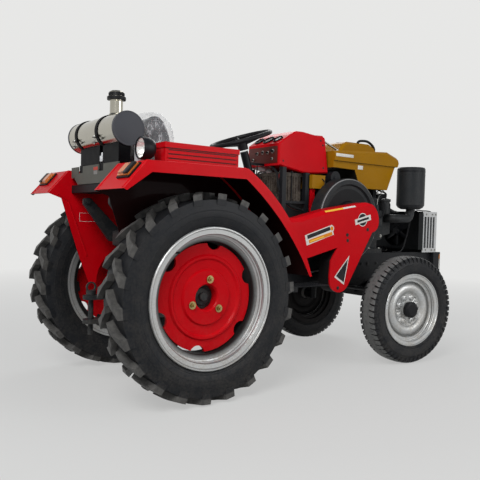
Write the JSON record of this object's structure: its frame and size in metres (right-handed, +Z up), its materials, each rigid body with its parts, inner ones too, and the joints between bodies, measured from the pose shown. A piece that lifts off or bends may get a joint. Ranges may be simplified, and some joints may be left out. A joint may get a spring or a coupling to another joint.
{
  "type": "belt-drive farm tractor",
  "caption": "Small two-wheel-drive farm tractor with an open belt-drive diesel, lugged rear tyres, arched fenders, toolbox, seat and a round rear tank.",
  "frame": {"origin": "on the ground, midway between the rearmost and foremost points and between the wheels", "axes": "+X forward, +Y to the driver's left, +Z up"},
  "size_m": [2.757, 1.2, 1.475],
  "materials": {
    "red_paint": "gloss red paint",
    "ochre_paint": "gloss ochre yellow paint",
    "silver_paint": "silver paint",
    "black_paint": "satin black paint",
    "grey_paint": "flat grey paint",
    "dark_iron": "dark painted castings",
    "polished_steel": "polished stainless steel",
    "tyre_rubber": "black rubber",
    "black_rubber": "moulded black rubber",
    "seat_cover": "black cover under clear film",
    "battery_case": "dark moulded case",
    "lamp_orange": "orange lens",
    "aluminium": "cast and rolled aluminium"
  },
  "bodies": {
    "chassis": {"rail_left": "black_paint", "fender_left": "red_paint", "tail_lamp_left": "lamp_orange", "footboard_left": "black_paint", "rail_right": "black_paint", "fender_right": "red_paint", "tail_lamp_right": "lamp_orange", "footboard_right": "black_paint", "front_axle_beam": "black_paint", "axle_bracket": "black_paint", "front_box": "black_paint", "gearbox_housing": "dark_iron", "rear_axle_housing": "dark_iron", "lift_housing": "dark_iron", "drawbar": "dark_iron", "draw_pin": "dark_iron", "engine_block": "dark_iron", "cylinder_head": "dark_iron", "fuel_tank": "ochre_paint", "alternator": "black_paint", "drive_belts": "black_rubber", "belt_guard": "red_paint", "radiator": "aluminium", "air_cleaner": "dark_iron", "muffler": "black_paint", "steering_column": "black_paint", "console": "red_paint", "battery": "battery_case", "toolbox": "red_paint", "seat": "seat_cover", "seat_frame": "black_paint", "rear_tank": "polished_steel", "tank_cradle": "black_paint", "rear_plate": "grey_paint", "work_lamp": "black_paint", "headlamps": "black_paint", "driver_controls": "black_paint", "console_stand": "black_paint", "guard_post": "red_paint"},
    "rear_wheel_left": {"rear_tyre_left": "tyre_rubber", "rear_rim_left": "silver_paint", "rear_disc_left": "red_paint"},
    "knuckle_left": {"knuckle_left": "black_paint"},
    "front_wheel_left": {"front_tyre_left": "tyre_rubber", "front_wheel_left": "silver_paint"},
    "rear_wheel_right": {"rear_tyre_right": "tyre_rubber", "rear_rim_right": "silver_paint", "rear_disc_right": "red_paint"},
    "knuckle_right": {"knuckle_right": "black_paint"},
    "front_wheel_right": {"front_tyre_right": "tyre_rubber", "front_wheel_right": "silver_paint"},
    "tie_rod": {"tie_rod": "black_paint"},
    "drag_link": {"drag_link": "black_paint"},
    "drop_arm": {"drop_arm": "dark_iron"},
    "steering_wheel": {"steering_wheel": "black_rubber"},
    "lift_arms": {"lift_arms": "dark_iron"},
    "pto_shaft": {"pto_shaft": "aluminium"},
    "flywheel": {"flywheel": "dark_iron"},
    "clutch_pulley": {"clutch_pulley": "dark_iron"},
    "toolbox_lid": {"toolbox_lid": "red_paint"}
  },
  "joints": [
    {"name": "rear_wheel_left_spin", "type": "hinge", "parent": "chassis", "child": "rear_wheel_left", "pos_m": [-0.881, 0.473, 0.4975], "axis": [0, 1, 0], "continuous": true},
    {"name": "rear_wheel_right_spin", "type": "hinge", "parent": "chassis", "child": "rear_wheel_right", "pos_m": [-0.881, -0.473, 0.4975], "axis": [0, 1, 0], "continuous": true},
    {"name": "steer_left", "type": "hinge", "parent": "chassis", "child": "knuckle_left", "pos_m": [0.664, 0.38, 0.335], "axis": [0, 0, 1], "range_deg": [-25, 39]},
    {"name": "steer_right", "type": "hinge", "parent": "chassis", "child": "knuckle_right", "pos_m": [0.664, -0.38, 0.335], "axis": [0, 0, 1], "range_deg": [-25, 39]},
    {"name": "front_wheel_left_spin", "type": "hinge", "parent": "knuckle_left", "child": "front_wheel_left", "pos_m": [0.67527, 0.47181, 0.335], "axis": [0.1219, 0.9925, 0], "continuous": true},
    {"name": "front_wheel_right_spin", "type": "hinge", "parent": "knuckle_right", "child": "front_wheel_right", "pos_m": [0.65273, -0.47181, 0.335], "axis": [0.1219, 0.9925, 0], "continuous": true},
    {"name": "tie_rod_pivot", "type": "hinge", "parent": "knuckle_right", "child": "tie_rod", "pos_m": [0.54489, -0.36538, 0.44], "axis": [0, 0, 1], "range_deg": [-39, 25]},
    {"name": "drag_link_pivot", "type": "hinge", "parent": "knuckle_left", "child": "drag_link", "pos_m": [0.65059, 0.27082, 0.56], "axis": [0, 0, 1], "range_deg": [-39, 25]},
    {"name": "drop_arm_turn", "type": "hinge", "parent": "chassis", "child": "drop_arm", "pos_m": [-0.031, 0.212, 0.7], "axis": [0, 1, 0], "range_deg": [-30.69, 19.69]},
    {"name": "steering_wheel_turn", "type": "hinge", "parent": "chassis", "child": "steering_wheel", "pos_m": [-0.326, 0, 1.345], "axis": [-0.3338, 0, 0.9426], "range_deg": [-375.5, 585.5]},
    {"name": "lift_arms_swing", "type": "hinge", "parent": "chassis", "child": "lift_arms", "pos_m": [-1.041, 0, 0.755], "axis": [0, 1, 0], "range_deg": [-65, 5]},
    {"name": "pto_spin", "type": "hinge", "parent": "chassis", "child": "pto_shaft", "pos_m": [-1.116, 0, 0.59], "axis": [1, 0, 0], "continuous": true},
    {"name": "flywheel_spin", "type": "hinge", "parent": "chassis", "child": "flywheel", "pos_m": [0.329, -0.23, 0.885], "axis": [0, 1, 0], "continuous": true},
    {"name": "clutch_pulley_spin", "type": "hinge", "parent": "chassis", "child": "clutch_pulley", "pos_m": [-0.161, -0.33, 0.768], "axis": [0, 1, 0], "continuous": true},
    {"name": "toolbox_lid_swing", "type": "hinge", "parent": "chassis", "child": "toolbox_lid", "pos_m": [-0.881, -0.3415, 1.192], "axis": [-1, 0, 0], "range_deg": [0, 95]}
  ],
  "couplings": [
    {"joint": "steer_left", "follows": "steer_right", "ratio": 1},
    {"joint": "tie_rod_pivot", "follows": "steer_right", "ratio": -1},
    {"joint": "drag_link_pivot", "follows": "steer_right", "ratio": -1},
    {"joint": "drop_arm_turn", "follows": "steer_right", "ratio": -0.78571},
    {"joint": "steering_wheel_turn", "follows": "steer_right", "ratio": 15},
    {"joint": "clutch_pulley_spin", "follows": "flywheel_spin", "ratio": 0.85106}
  ]
}
